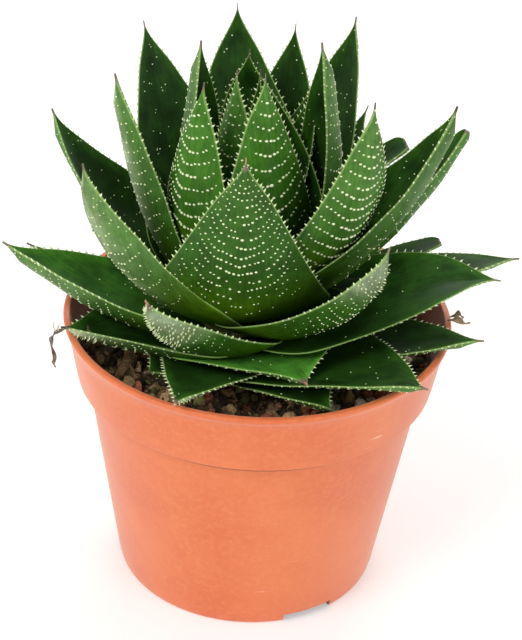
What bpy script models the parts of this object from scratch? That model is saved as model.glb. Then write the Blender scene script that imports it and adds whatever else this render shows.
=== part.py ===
"""A potted aloe: a rosette of toothed leaves on a short stem, in a soil-filled nursery pot.

Metres, +Z up. The origin is the centre of the pot's foot, and -Y is the side seen in the photo.
"""
import math
from collections import namedtuple

import bmesh
import bpy
import numpy as np
from mathutils.bvhtree import BVHTree

MM = 0.001
GAP = 0.3 * MM

# Pot: a thin moulded cup with a tall band under its rim and a raised floor
POT_HEIGHT = 90.5 * MM
RIM_RADIUS = 60.0 * MM
BAND_HEIGHT = 20.8 * MM
BAND_FOOT_RADIUS = 55.7 * MM
BODY_TOP_RADIUS = 52.7 * MM
FOOT_RADIUS = 41.8 * MM
FOOT_CHAMFER = 1.3 * MM
FOOT_RING_WIDTH = 2.2 * MM
WALL = 1.7 * MM
LIP_WIDTH = 2.2 * MM
LIP_EDGE = 0.7 * MM
FLOOR_BOTTOM = 3.2 * MM
FLOOR_TOP = 4.8 * MM
BOSS_RADIUS = 6.0 * MM
STEP = POT_HEIGHT - BAND_HEIGHT
SHELF = STEP + WALL
SHELF_DROP = 0.5 * MM
POT_SIDES = 48
NOTCH_COUNT = 3
NOTCH_AZIMUTH = 300.2
NOTCH_WIDTH = 17.0 * MM
NOTCH_HEIGHT = 3.0 * MM
DRAIN_COUNT = 4
DRAIN_RADIUS = 4.0 * MM
DRAIN_CIRCLE = 24.0 * MM
DRAIN_SIDES = 8

# Soil: a plug that fills the pot to below its rim, with a plain hole for the stem
SOIL_TOP = 77.0 * MM
SOIL_DIP = 5.0 * MM
SOIL_DIP_RADIUS = 26.0 * MM
SOIL_SIDES = 24
SOIL_RINGS = 5
SOIL_BUMP = 0.8 * MM

# Stem: short and thick, narrowing towards the growing point
STEM_X = -6.0 * MM
STEM_RADIUS = 13.0 * MM
STEM_FOOT = 60.0 * MM
STEM_SIDES = 12
STEM_PROFILE = [(13.0, 90), (12.0, 94), (10.5, 98), (8.5, 102), (6.0, 106)]
STEM_TIP = 109.0 * MM

# Leaf section and outline
STATIONS = (0.0, 0.13, 0.28, 0.44, 0.60, 0.75, 0.88)
TOP_COLUMNS = (-1.0, -0.5, 0.0, 0.5, 1.0)
BOTTOM_COLUMNS = (0.97, 0.0, -0.97)
MARGIN_SIGNS = {0: -1, 4: 1, 5: 1, 7: -1}
MARGINS = {(4, 5): 1, (7, 0): -1}
GUTTER_POWER = 1.6
KEEL_POWER = 1.8
TAPER = 0.45
WIDEST = 0.25
EDGE = 0.7 * MM
THICKNESS = 0.105
THICKEST = 3.9 * MM
BASE_THINNING = 0.45
BEND = 0.38
POINT_LENGTH = 17.0 * MM
POINT_POWER = 2.3
TOOTH_HEIGHT = 1.3 * MM
TOOTH_BASE = 1.7 * MM
TOOTH_SPACING = 8.5 * MM
TOOTH_START = 0.16
TOOTH_END = 0.07
TOOTH_LEAN = 0.3
LEAF_GAP = 0.4 * MM
SLIVER = 0.003 * MM
KEPT_TRIANGLES = 0.9

# Each leaf, from the growing point outwards, in millimetres and degrees: the azimuth, reach and
# height of its tip, its rise at the base and at the tip, its width, the azimuth, radius and height
# of its base in the stem, its roll, the depth of its gutter, how much of its tip is missing, the
# width of its foot as a part of its greatest width, and how far its blunt end stands askew
Leaf = namedtuple("Leaf", "azimuth reach height rise_base rise_tip width "
                          "base_azimuth base_radius base_height roll gutter dead neck slant",
                  defaults=(0, 0.26, 0, 0.5, 0))
LEAVES = [
    Leaf( 60,   6, 169,  88,  88,  13,  60,   1, 104),
    Leaf(245,   8, 174,  80,  90,  24, 225,   3, 102),
    Leaf( 30,  23, 165,  70,  88,  28,  35,   3, 101),
    Leaf(285,  18, 178,  58,  98,  36, 308,   4, 99.5, 0, .26, 0, 0.6),
    Leaf(140,  19, 174,  48,  92,  36, 162,   5,  99, 12, .5),
    Leaf( 92,  12, 172,  48, 104,  50,  30,   7, 98.3),
    Leaf(  4,  20, 180,  34,  98,  40,   0,   8, 97.5, 18, .5),
    Leaf(230,  19, 173,  50,  98,  40, 215,   5, 96.5, 0, .26, 0, 0.6),
    Leaf( 97,  43, 174,  60,  84,  50,  86,   5, 95.5),
    Leaf( 50,  48, 174,  56,  84,  42,  46,   6,  95),
    Leaf(321,  45, 176,  40,  90,  40, 335,   6,  94, -22, .24, 0, 0.6),
    Leaf(181, 38.5, 168,  40,  76,  42, 178,   6,  94, 18, .30),
    Leaf(271,  41, 163.5,  26,  84,  54, 270,   7,  93, 0, .20, 0, 0.75),
    Leaf(125,  60, 164,  54,  66,  46, 127,   7, 92.5),
    Leaf(352,  60, 167,  38,  76,  46, 350,   7,  92, 10, .48, 0, 0.65),
    Leaf( 75,  50, 166,  52,  84,  40,  74,   8, 91.5),
    Leaf( 14,  71, 151.5,  62,   8,  22,  16,   8,  91, 0, .26, .25, .5, 15),
    Leaf(207,  51, 150,  28,  80,  46, 212,   8,  91, 14, .24, 0, 0.8),
    Leaf(165,  61, 148,  40,  70,  44, 160,   7,  91),
    Leaf(317,  57, 137,  16,  78,  40, 308,   8,  91, 0, .28, 0, 0.8),
    Leaf(  9, 68.5, 156.5,  30,  66,  30,   9,   9,  90, 0, .5, .07),
    Leaf( 54,  64, 138,  32,  54,  36,  54,   9, 88.5, 0, .2),
    Leaf(104,  66, 136,  32,  54,  38, 104,   9, 88.5, 0, .2),
    Leaf(  9,  80, 118.5,  24,  14,  17,  12,  10, 88.5, 0, .15, .25, .5, -10),
    Leaf(184,  72, 113,  12,  33,  44, 200,   9,  85, 0, .50, 0, .7),
    Leaf(239,  50, 118,   0,  60,  42, 254,   9, 87.5, 0, .30, 0, 0.8),
    Leaf(140,  68, 122,  18,  36,  36, 140,   9,  87, 0, .15),
    Leaf(356,  79, 109,   6,  -8,  50, 341,  10, 86.5, 20, .30, 0, .8),
    Leaf( 80,  70, 116,  16,  30,  38,  80,   9,  86, 0, .15),
    Leaf(151,  55, 101,  10,  14,  32, 151,  10,  86, 0, .12),
    Leaf(203,  60, 95.5,  10,   8,  34, 206,  10, 84.5, 0, .15, .22, .5, 38),
    Leaf(  8,  87, 107.3,  14,   4,  38,  10,  10, 85.5, 0, .12),
    Leaf( 42,  62, 104,  14,  22,  34,  42,  10,  85, 0, .15),
    Leaf(296,  50,  93,  14,  -8,  56, 290,  10, 84.5, 0, .10, 0, .8),
    Leaf(170,  68, 103.5,   6,  20,  26, 170,  10,  82, 0, .12),
    Leaf(118,  70, 102,  10,  12,  36, 118,  10, 83.5, 0, .15),
    Leaf(316,  77, 100,   6,  12,  52, 315,  10,  83, 0, .10, 0, .7),
    Leaf(205, 57.5,  96,   8,  16,  50, 214,  10, 82.5, 0, .35, 0, .75),
    Leaf( 60,  68, 100,   8,  10,  34,  60,  10, 82.5, 0, .15),
    Leaf(236, 46.5, 90.5,   4,  12,  40, 240,  10, 80.5, -6, .12),
    Leaf(343,  77,  98,   4,  12,  42, 345,  10, 81.5, 0, .12),
    Leaf(255, 63.5,  95,  12,   4,  36, 258,  10, 81.5, 0, .10, 0, .7),
    Leaf(300,  59,  89,   2,   4,  38, 294,  10,  81, 0, .10),
]


def clear_scene():
    for obj in list(bpy.data.objects):
        bpy.data.objects.remove(obj, do_unlink=True)


def material(name, colour, roughness):
    mat = bpy.data.materials.new(name)
    mat.use_nodes = True
    shader = mat.node_tree.nodes["Principled BSDF"]
    shader.inputs["Base Color"].default_value = (*colour, 1.0)
    shader.inputs["Roughness"].default_value = roughness
    shader.inputs["Metallic"].default_value = 0.0
    return mat


def add_object(name, verts, faces, mat):
    """An object whose faces are turned to point out."""
    mesh = bpy.data.meshes.new(name)
    mesh.from_pydata([tuple(v) for v in verts], [], faces)
    bm = bmesh.new()
    bm.from_mesh(mesh)
    bmesh.ops.recalc_face_normals(bm, faces=bm.faces)
    bm.to_mesh(mesh)
    bm.free()
    if mat:
        mesh.materials.append(mat)
    obj = bpy.data.objects.new(name, mesh)
    bpy.context.scene.collection.objects.link(obj)
    return obj


def as_cutter(obj):
    obj.hide_render = True
    obj.display_type = "WIRE"
    return obj


def cut(obj, cutter):
    """Cut one object by another and apply it."""
    boolean = obj.modifiers.new("cut", "BOOLEAN")
    boolean.operation = "DIFFERENCE"
    boolean.object = cutter
    depsgraph = bpy.context.evaluated_depsgraph_get()
    mesh = bpy.data.meshes.new_from_object(obj.evaluated_get(depsgraph))
    obj.modifiers.clear()
    old = obj.data
    obj.data = mesh
    bpy.data.meshes.remove(old)


def turned(profile, sides, centre_x=0.0):
    """Vertices and faces of a profile that starts and ends on its axis, turned about it."""
    verts = [(centre_x, 0, profile[0][1])]
    for radius, z in profile[1:-1]:
        for k in range(sides):
            angle = math.tau * k / sides
            verts.append((centre_x + radius * math.cos(angle), radius * math.sin(angle), z))
    verts.append((centre_x, 0, profile[-1][1]))
    last = len(verts) - 1
    rings = len(profile) - 2
    faces = []
    for k in range(sides):
        n = (k + 1) % sides
        faces.append((0, 1 + n, 1 + k))
        for ring in range(rings - 1):
            a = 1 + ring * sides
            b = a + sides
            faces.append((a + k, a + n, b + n, b + k))
        a = 1 + (rings - 1) * sides
        faces.append((a + k, a + n, last))
    return verts, faces


def inner_radius(z):
    """Radius of the inside of the pot's wall at a height."""
    if z >= SHELF:
        share = (z - STEP) / BAND_HEIGHT
        return (1 - share) * (BAND_FOOT_RADIUS - WALL) + share * (RIM_RADIUS - LIP_WIDTH)
    share = min(1.0, z / STEP)
    return (1 - share) * FOOT_RADIUS + share * BODY_TOP_RADIUS - WALL


def pot_profile():
    ring_inside = FOOT_RADIUS - FOOT_CHAMFER - FOOT_RING_WIDTH
    under = [(0, 0), (BOSS_RADIUS, 0), (BOSS_RADIUS + 0.5 * MM, FLOOR_BOTTOM),
             (ring_inside - 0.3 * MM, FLOOR_BOTTOM), (ring_inside, 0)]
    outside = [(FOOT_RADIUS - FOOT_CHAMFER, 0), (FOOT_RADIUS, FOOT_CHAMFER),
               (BODY_TOP_RADIUS, STEP), (BAND_FOOT_RADIUS, STEP),
               (RIM_RADIUS - 0.2 * MM, POT_HEIGHT - 2 * LIP_EDGE),
               (RIM_RADIUS, POT_HEIGHT - LIP_EDGE), (RIM_RADIUS - LIP_EDGE, POT_HEIGHT)]
    inside = [(RIM_RADIUS - LIP_WIDTH + LIP_EDGE, POT_HEIGHT),
              (RIM_RADIUS - LIP_WIDTH, POT_HEIGHT - LIP_EDGE),
              (inner_radius(SHELF), SHELF), (inner_radius(SHELF - SHELF_DROP), SHELF - SHELF_DROP),
              (inner_radius(FLOOR_TOP), FLOOR_TOP), (0, FLOOR_TOP)]
    return under + outside + inside


def make_pot():
    pot = add_object("pot", *turned(pot_profile(), POT_SIDES),
                     material("terracotta_plastic", (0.78, 0.24, 0.10), 0.45))
    for k in range(NOTCH_COUNT):
        angle = math.radians(NOTCH_AZIMUTH + k * 360 / NOTCH_COUNT)
        bpy.ops.mesh.primitive_cube_add(size=1)
        notch = as_cutter(bpy.context.object)
        notch.scale = (FOOT_RADIUS / 2, NOTCH_WIDTH, 2 * NOTCH_HEIGHT)
        notch.location = (FOOT_RADIUS * math.cos(angle), FOOT_RADIUS * math.sin(angle), 0)
        notch.rotation_euler.z = angle
        cut(pot, notch)
        bpy.data.objects.remove(notch)
    for k in range(DRAIN_COUNT):
        angle = math.tau * (k + 0.4) / DRAIN_COUNT
        bpy.ops.mesh.primitive_cylinder_add(vertices=DRAIN_SIDES, radius=DRAIN_RADIUS,
                                            depth=2 * FLOOR_TOP)
        drain = as_cutter(bpy.context.object)
        drain.location = (DRAIN_CIRCLE * math.cos(angle), DRAIN_CIRCLE * math.sin(angle), FLOOR_TOP)
        cut(pot, drain)
        bpy.data.objects.remove(drain)
    return pot


def soil_surface(x, y, radius):
    """Height of the soil: lumpy, and lower under the rosette."""
    dip = max(0.0, 1 - (radius / SOIL_DIP_RADIUS) ** 2) * SOIL_DIP
    lumps = math.sin(310 * x + 1.3) * math.sin(270 * y + 0.4) + 0.6 * math.sin(640 * x - 520 * y)
    return SOIL_TOP - dip + SOIL_BUMP * lumps


def make_soil():
    hole = STEM_RADIUS + GAP
    outer_radius = inner_radius(SOIL_TOP) - 2 * GAP - SOIL_BUMP * 0.2
    bottom = FLOOR_TOP + GAP
    hole_rings = [(0, STEM_FOOT - GAP), (hole, STEM_FOOT - GAP)]
    spread = (outer_radius - hole) / SOIL_RINGS
    top_rings = [(hole + spread * k, SOIL_TOP) for k in range(SOIL_RINGS + 1)]
    side_rings = [(inner_radius(SHELF) - 2 * GAP, SHELF + GAP),
                  (inner_radius(SHELF - SHELF_DROP) - 2 * GAP, SHELF - SHELF_DROP + GAP),
                  (inner_radius(bottom) - 2 * GAP, bottom), (0, bottom)]
    verts, faces = turned(hole_rings + top_rings + side_rings, SOIL_SIDES)
    first = 1 + SOIL_SIDES
    centre_shift = np.array([STEM_X, 0, 0])
    verts = [np.array(v, dtype=float) for v in verts]
    for k in range(first):
        verts[k] += centre_shift
    for ring in range(SOIL_RINGS + 1):
        share = 1 - ring / SOIL_RINGS
        for k in range(SOIL_SIDES):
            v = verts[first + ring * SOIL_SIDES + k]
            v += centre_shift * share
            v[2] = soil_surface(v[0], v[1], math.hypot(v[0] - STEM_X, v[1]))
    return add_object("soil", verts, faces, material("potting_soil", (0.045, 0.03, 0.02), 0.95))


def make_stem():
    profile = [(0, STEM_FOOT), (STEM_RADIUS, STEM_FOOT)]
    profile += [(radius * MM, z * MM) for radius, z in STEM_PROFILE]
    profile += [(0, STEM_TIP)]
    return add_object("stem", *turned(profile, STEM_SIDES, STEM_X),
                      material("stem_tissue", (0.35, 0.38, 0.16), 0.6))


def stem_cutter():
    """The stem grown by the gap."""
    profile = [(0, STEM_FOOT - GAP), (STEM_RADIUS + GAP, STEM_FOOT - GAP)]
    profile += [(radius * MM + GAP, z * MM + GAP) for radius, z in STEM_PROFILE]
    profile += [(0, STEM_TIP + GAP)]
    return as_cutter(add_object("stem_cutter", *turned(profile, STEM_SIDES, STEM_X), None))


def direction(rise, azimuth):
    e, a = math.radians(rise), math.radians(azimuth)
    return np.array([math.cos(e) * math.cos(a), math.cos(e) * math.sin(a), math.sin(e)])


def leaf_spine(leaf, shares):
    """Points and directions along the middle of a leaf's upper face, and its length."""
    root = np.array([STEM_X, 0, leaf.base_height * MM])
    root += direction(0, leaf.base_azimuth) * leaf.base_radius * MM
    tip = np.array([STEM_X, 0, leaf.height * MM]) + direction(0, leaf.azimuth) * leaf.reach * MM
    pull = np.linalg.norm(tip - root) * BEND
    swing = leaf.azimuth - leaf.base_azimuth
    first = root + direction(leaf.rise_base, leaf.base_azimuth) * pull
    second = tip - direction(leaf.rise_tip, leaf.azimuth + 0.3 * swing) * pull
    t = np.linspace(0, 1, 200)[:, None]
    curve = (1 - t) ** 3 * root + 3 * (1 - t) ** 2 * t * first
    curve += 3 * (1 - t) * t ** 2 * second + t ** 3 * tip
    run = np.concatenate([[0], np.cumsum(np.linalg.norm(np.diff(curve, axis=0), axis=1))])
    slope = np.gradient(curve, axis=0)
    at = np.array(shares) * run[-1]
    points = np.stack([np.interp(at, run, curve[:, k]) for k in range(3)], axis=1)
    along = np.stack([np.interp(at, run, slope[:, k]) for k in range(3)], axis=1)
    return points, along / np.linalg.norm(along, axis=1)[:, None], run[-1]


def leaf_outline(leaf, share, length):
    """Half width at a share of the length, as a part of the greatest, with a slender point."""
    if share < WIDEST:
        return leaf.neck + (1 - leaf.neck) * math.sin(share / WIDEST * math.pi / 2)
    t = (share - WIDEST) / (1 - WIDEST)
    outline = (1 - t) ** 1.05 + 0.30 * t * (1 - t)
    left = 1.0 if leaf.dead else min(1.0, (1 - share) * length / POINT_LENGTH)
    return outline * (1 - (1 - left) ** POINT_POWER)


def turned_by(angle, side, up):
    """Two square directions turned in their own plane."""
    c, s = math.cos(angle), math.sin(angle)
    return side * c + up * s, up * c - side * s


def leaf_rings(leaf, grow=0.0, reach_out=0.0):
    """The leaf's cross-sections, each a loop of points, with the frame at each, and its tip."""
    shares = [s * (1 - leaf.dead) / (STATIONS[-1] if leaf.dead else 1) for s in STATIONS]
    points, along, length = leaf_spine(leaf, shares + [1.0])
    rings, frames = [], []
    for share, point, ahead in zip(shares, points, along):
        facing = math.radians(leaf.base_azimuth + (leaf.azimuth - leaf.base_azimuth) * share)
        side = np.array([-math.sin(facing), math.cos(facing), 0.0])
        side -= ahead * side.dot(ahead)
        side /= np.linalg.norm(side)
        up = np.cross(ahead, side)
        roll = math.radians(leaf.roll * min(1.0, 1.5 * share))
        side, up = turned_by(roll, side, up)
        half = leaf.width / 2 * MM * leaf_outline(leaf, share, length)
        base = 1 - BASE_THINNING * max(0.0, 1 - share / WIDEST)
        full = min(THICKNESS * leaf.width * MM, THICKEST)
        thick = min(full * (1 - TAPER * share) * base, 0.8 * half + 0.2 * MM)
        ring = []
        for x in TOP_COLUMNS:
            ring.append((x * half, leaf.gutter * half * abs(x) ** GUTTER_POWER + grow))
        for x in BOTTOM_COLUMNS:
            top = leaf.gutter * half * abs(x) ** GUTTER_POWER
            ring.append((x * half, top - thick * (1 - abs(x) ** KEEL_POWER) - EDGE - grow))
        for k, sign in MARGIN_SIGNS.items():
            x, y = ring[k]
            ring[k] = (x + sign * reach_out, y + GUTTER_POWER * leaf.gutter * reach_out)
        askew = math.tan(math.radians(leaf.slant)) * share ** 4
        rings.append([point + (side + ahead * askew) * x + up * y for x, y in ring])
        frames.append((side, up))
    tip = points[-1] - frames[-1][1] * EDGE / 2
    return rings, frames, tip + along[-1] * reach_out, length


def bridge(faces, one, other):
    """Triangles between two chains of (place, index), split alike whatever points stand between."""
    end = other[-1][1]
    i = j = 0
    while i < len(one) - 1 or j < len(other) - 1:
        if j == len(other) - 1:
            step_one = True
        elif i == len(one) - 1 or (one[i + 1][1] == end and other[j + 1][1] != end):
            step_one = False
        else:
            step_one = one[i + 1][0] <= math.ceil(other[j + 1][0])
        new = one[i + 1][1] if step_one else other[j + 1][1]
        if new not in (one[i][1], other[j][1]):
            faces.append((one[i][1], new, other[j][1]))
        i, j = (i + 1, j) if step_one else (i, j + 1)


def leaf_mesh(leaf, toothed=True, grow=0.0, reach_out=0.0):
    """A leaf as vertices and triangles: long chains of points bridged side to side."""
    rings, frames, tip, length = leaf_rings(leaf, grow, reach_out)
    columns = len(rings[0])
    count = len(rings)
    verts = [p for ring in rings for p in ring]
    chains = [[(float(k), k * columns + c) for k in range(count)] for c in range(columns)]
    faces = [tuple(range(columns))]
    if leaf.dead:
        faces.append(tuple((count - 1) * columns + c for c in range(columns)))
    else:
        verts.append(tip)
        for chain in chains:
            chain.append((float(count), len(verts) - 1))
    for column in range(columns):
        pair = (column, (column + 1) % columns)
        if pair in MARGINS and toothed:
            top, bottom = pair if MARGINS[pair] == 1 else pair[::-1]
            add_teeth(verts, faces, chains, top, bottom, MARGINS[pair], frames, leaf, length)
    for column in range(columns):
        pair = (column, (column + 1) % columns)
        if not (pair in MARGINS and toothed):
            below = column >= len(TOP_COLUMNS)
            bridge(faces, chains[pair[below]], chains[pair[not below]])
    return verts, faces


def tooth_places(leaf, length):
    """Where teeth stand along a margin, as places between the cross-sections."""
    end = 1 - leaf.dead - TOOTH_END
    number = max(2, round((end - TOOTH_START) * length / TOOTH_SPACING))
    shares = [TOOTH_START + (end - TOOTH_START) * k / (number - 1) for k in range(number)]
    scale = (1 - leaf.dead) / (STATIONS[-1] if leaf.dead else 1)
    stations = [s * scale for s in STATIONS] + ([] if leaf.dead else [1.0])
    return [float(np.interp(s, stations, range(len(stations)))) for s in shares], stations


def add_teeth(verts, faces, chains, top, bottom, sign, frames, leaf, length):
    """Fill one margin with its edge strip and a row of three-sided teeth."""
    places, stations = tooth_places(leaf, length)

    def on_chain(chain, place):
        k = min(int(place), len(chain) - 2)
        a, b = np.array(verts[chain[k][1]]), np.array(verts[chain[k + 1][1]])
        return a + (b - a) * (place - k)

    plain_top, plain_bottom = list(chains[top]), list(chains[bottom])
    marks = []
    for place in places:
        k = min(int(place), len(stations) - 2)
        half_base = TOOTH_BASE / 2 / (length * (stations[k + 1] - stations[k]))
        low, high = max(place - half_base, k + 0.02), min(place + half_base, k + 0.98)
        middle = (low + high) / 2
        side, up = frames[min(k, len(frames) - 1)]
        outward = side * sign + up * leaf.gutter * GUTTER_POWER
        outward /= np.linalg.norm(outward)
        start, stop = on_chain(plain_top, low), on_chain(plain_top, high)
        under = on_chain(plain_bottom, middle)
        forward = (stop - start) / np.linalg.norm(stop - start)
        size = TOOTH_HEIGHT * (1.0 if middle < len(stations) - 2 else 0.6)
        apex = (start + stop + under) / 3 + (outward + forward * TOOTH_LEAN) * size
        index = len(verts)
        verts.extend([start, stop, under, apex])
        marks.append((low, high, middle, index))
    chain_top, chain_bottom = list(plain_top), list(plain_bottom)
    for low, high, middle, index in marks:
        chain_top += [(low, index), (high, index + 1)]
        chain_bottom += [(middle, index + 2)]
        faces += [(index, index + 1, index + 3), (index + 1, index + 2, index + 3),
                  (index + 2, index, index + 3)]
    chain_top.sort()
    chain_bottom.sort()
    chains[top], chains[bottom] = chain_top, chain_bottom
    walk_margin(faces, chain_top, chain_bottom, {index for *_, index in marks})


def walk_margin(faces, top, bottom, starts):
    """Bridge a margin's two chains, leaving out each triangle that a tooth stands on."""
    i = j = 0
    while i < len(top) - 1 or j < len(bottom) - 1:
        here = top[i][1]
        if here in starts and bottom[j][1] == here + 2:
            i += 1
            continue
        forced = here in starts
        step_top = not forced and (j == len(bottom) - 1 or
                                   (i < len(top) - 1 and top[i + 1][0] <= bottom[j + 1][0]))
        new = top[i + 1][1] if step_top else bottom[j + 1][1]
        if new not in (here, bottom[j][1]):
            faces.append((here, new, bottom[j][1]))
        i, j = (i + 1, j) if step_top else (i, j + 1)


def tree_of(obj):
    mesh = obj.data
    return BVHTree.FromPolygons([v.co for v in mesh.vertices], [tuple(f.vertices) for f in mesh.polygons])


def islands_of(bm):
    """The faces of a mesh in groups that hang together edge to edge, the smallest group first."""
    left, islands = set(bm.faces), []
    while left:
        island, front = set(), [next(iter(left))]
        while front:
            face = front.pop()
            if face not in island:
                island.add(face)
                front += [other for edge in face.edges for other in edge.link_faces]
        islands.append(island)
        left -= island
    return sorted(islands, key=len)


def tidy_cut(obj):
    """Drop the loose scraps that the cuts leave, and thin out the triangles along the cuts."""
    bm = bmesh.new()
    bm.from_mesh(obj.data)
    bmesh.ops.remove_doubles(bm, verts=bm.verts, dist=SLIVER)
    scraps = [face for island in islands_of(bm)[:-1] for face in island]
    bmesh.ops.delete(bm, geom=scraps, context="FACES")
    bm.to_mesh(obj.data)
    bm.free()
    thin = obj.modifiers.new("thin", "DECIMATE")
    thin.ratio = KEPT_TRIANGLES
    thin.use_collapse_triangulate = True


def make_leaves():
    green = material("leaf_green", (0.045, 0.16, 0.035), 0.4)
    cutters = [stem_cutter()]
    for number, leaf in enumerate(LEAVES, start=1):
        obj = add_object(f"leaf_{number:02d}", *leaf_mesh(leaf), green)
        for cutter in cutters:
            if tree_of(obj).overlap(tree_of(cutter)):
                cut(obj, cutter)
        tidy_cut(obj)
        shape = leaf_mesh(leaf, toothed=False, grow=LEAF_GAP, reach_out=TOOTH_HEIGHT + LEAF_GAP)
        cutters.append(as_cutter(add_object(f"cutter_{number:02d}", *shape, None)))
    for cutter in cutters:
        bpy.data.objects.remove(cutter)


def main():
    clear_scene()
    make_pot()
    make_soil()
    make_stem()
    make_leaves()


main()
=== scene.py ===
from collections import namedtuple
from math import copysign, cos, pi, radians, sin, sqrt, tan, tau

import bmesh
import bpy
import numpy as np
from mathutils import Matrix, Vector
from mathutils.bvhtree import BVHTree


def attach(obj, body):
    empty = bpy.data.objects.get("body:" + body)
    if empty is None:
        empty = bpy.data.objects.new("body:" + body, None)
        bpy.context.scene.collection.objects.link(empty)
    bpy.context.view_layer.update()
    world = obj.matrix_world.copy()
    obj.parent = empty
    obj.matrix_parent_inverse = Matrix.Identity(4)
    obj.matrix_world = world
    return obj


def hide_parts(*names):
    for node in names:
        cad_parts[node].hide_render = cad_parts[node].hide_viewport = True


MM = 0.001
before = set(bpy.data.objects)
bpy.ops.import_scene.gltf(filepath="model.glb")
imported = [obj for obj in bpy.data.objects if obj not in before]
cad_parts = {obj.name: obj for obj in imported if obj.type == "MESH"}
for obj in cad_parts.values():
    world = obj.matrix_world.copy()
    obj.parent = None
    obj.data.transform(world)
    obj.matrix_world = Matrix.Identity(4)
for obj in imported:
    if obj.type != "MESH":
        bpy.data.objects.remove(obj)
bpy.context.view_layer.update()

# Camera, fitted to the pot's rim, band and foot in the photo's frame of 522 x 640 pixels
IMAGE_LONG_SIDE = 640
SENSOR = 36.0
FOCAL_PIXELS = 1880
CAMERA_DISTANCE = 584 * MM
CAMERA_ELEVATION = 31.5
CAMERA_ROLL = 3.1
CAMERA_SHIFT = 1.1 * MM
AIM_HEIGHT = 87 * MM

# Pot
POT_HEIGHT = 90.5 * MM
RIM_RADIUS = 60.0 * MM
BAND_HEIGHT = 20.8 * MM
BAND_FOOT_RADIUS = 55.7 * MM
BODY_TOP_RADIUS = 52.7 * MM
FOOT_RADIUS = 41.8 * MM
FOOT_ROUND = 1.3 * MM
FOOT_RING_WIDTH = 2.2 * MM
WALL = 1.7 * MM
LIP_WIDTH = 2.2 * MM
LIP_EDGE = 0.8 * MM
BAND_ROUND = 0.5 * MM
FLOOR_BOTTOM = 3.2 * MM
FLOOR_TOP = 4.8 * MM
BOSS_RADIUS = 6.0 * MM
STEP = POT_HEIGHT - BAND_HEIGHT
SHELF = STEP + WALL
SHELF_DROP = 0.5 * MM
POT_SIDES = 192
NOTCH_COUNT = 3
NOTCH_AZIMUTH = 300.2
NOTCH_WIDTH = 17.0 * MM
NOTCH_HEIGHT = 3.0 * MM
DRAIN_COUNT = 4
DRAIN_RADIUS = 4.0 * MM
DRAIN_CIRCLE = 24.0 * MM
DRAIN_TURN = 0.4
SHARP_ANGLE = 38

# Soil
SOIL_TOP = 77.0 * MM
SOIL_DIP = 5.0 * MM
SOIL_DIP_RADIUS = 26.0 * MM
SOIL_BUMP = 0.8 * MM
SOIL_GAP = 0.6 * MM
SOIL_LIFT = 0.3 * MM
SOIL_EDGE = 0.75 * MM
CRUMB_EDGE = 1.6 * MM
SOIL_SIDES = 160
SOIL_RINGS = 44
CRUMB_COUNT = 2900
STEM_X = -6.0 * MM

# Leaf section and outline, as in the frame's solids, in finer steps
GUTTER_POWER = 1.6
KEEL_POWER = 1.8
TAPER = 0.45
WIDEST = 0.25
THICKNESS = 0.105
THICKEST = 3.9 * MM
BASE_THINNING = 0.45
BEND = 0.38
CURVE_SAMPLES = 400
STATION_COUNT = 66
TOP_POINTS = 17
BOTTOM_POINTS = 15
CROWDING = 1.35
CUTTER_STATIONS = 30
CUTTER_POINTS = 7
CUTTER_GROWTH = 0.12 * MM
FINE_EDGE = 0.5 * MM
POINT_LENGTH = 17.0 * MM
POINT_POWER = 2.3
BRISTLE_LENGTH = 5.0 * MM
BRISTLE_RADIUS = 0.26 * MM

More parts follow.
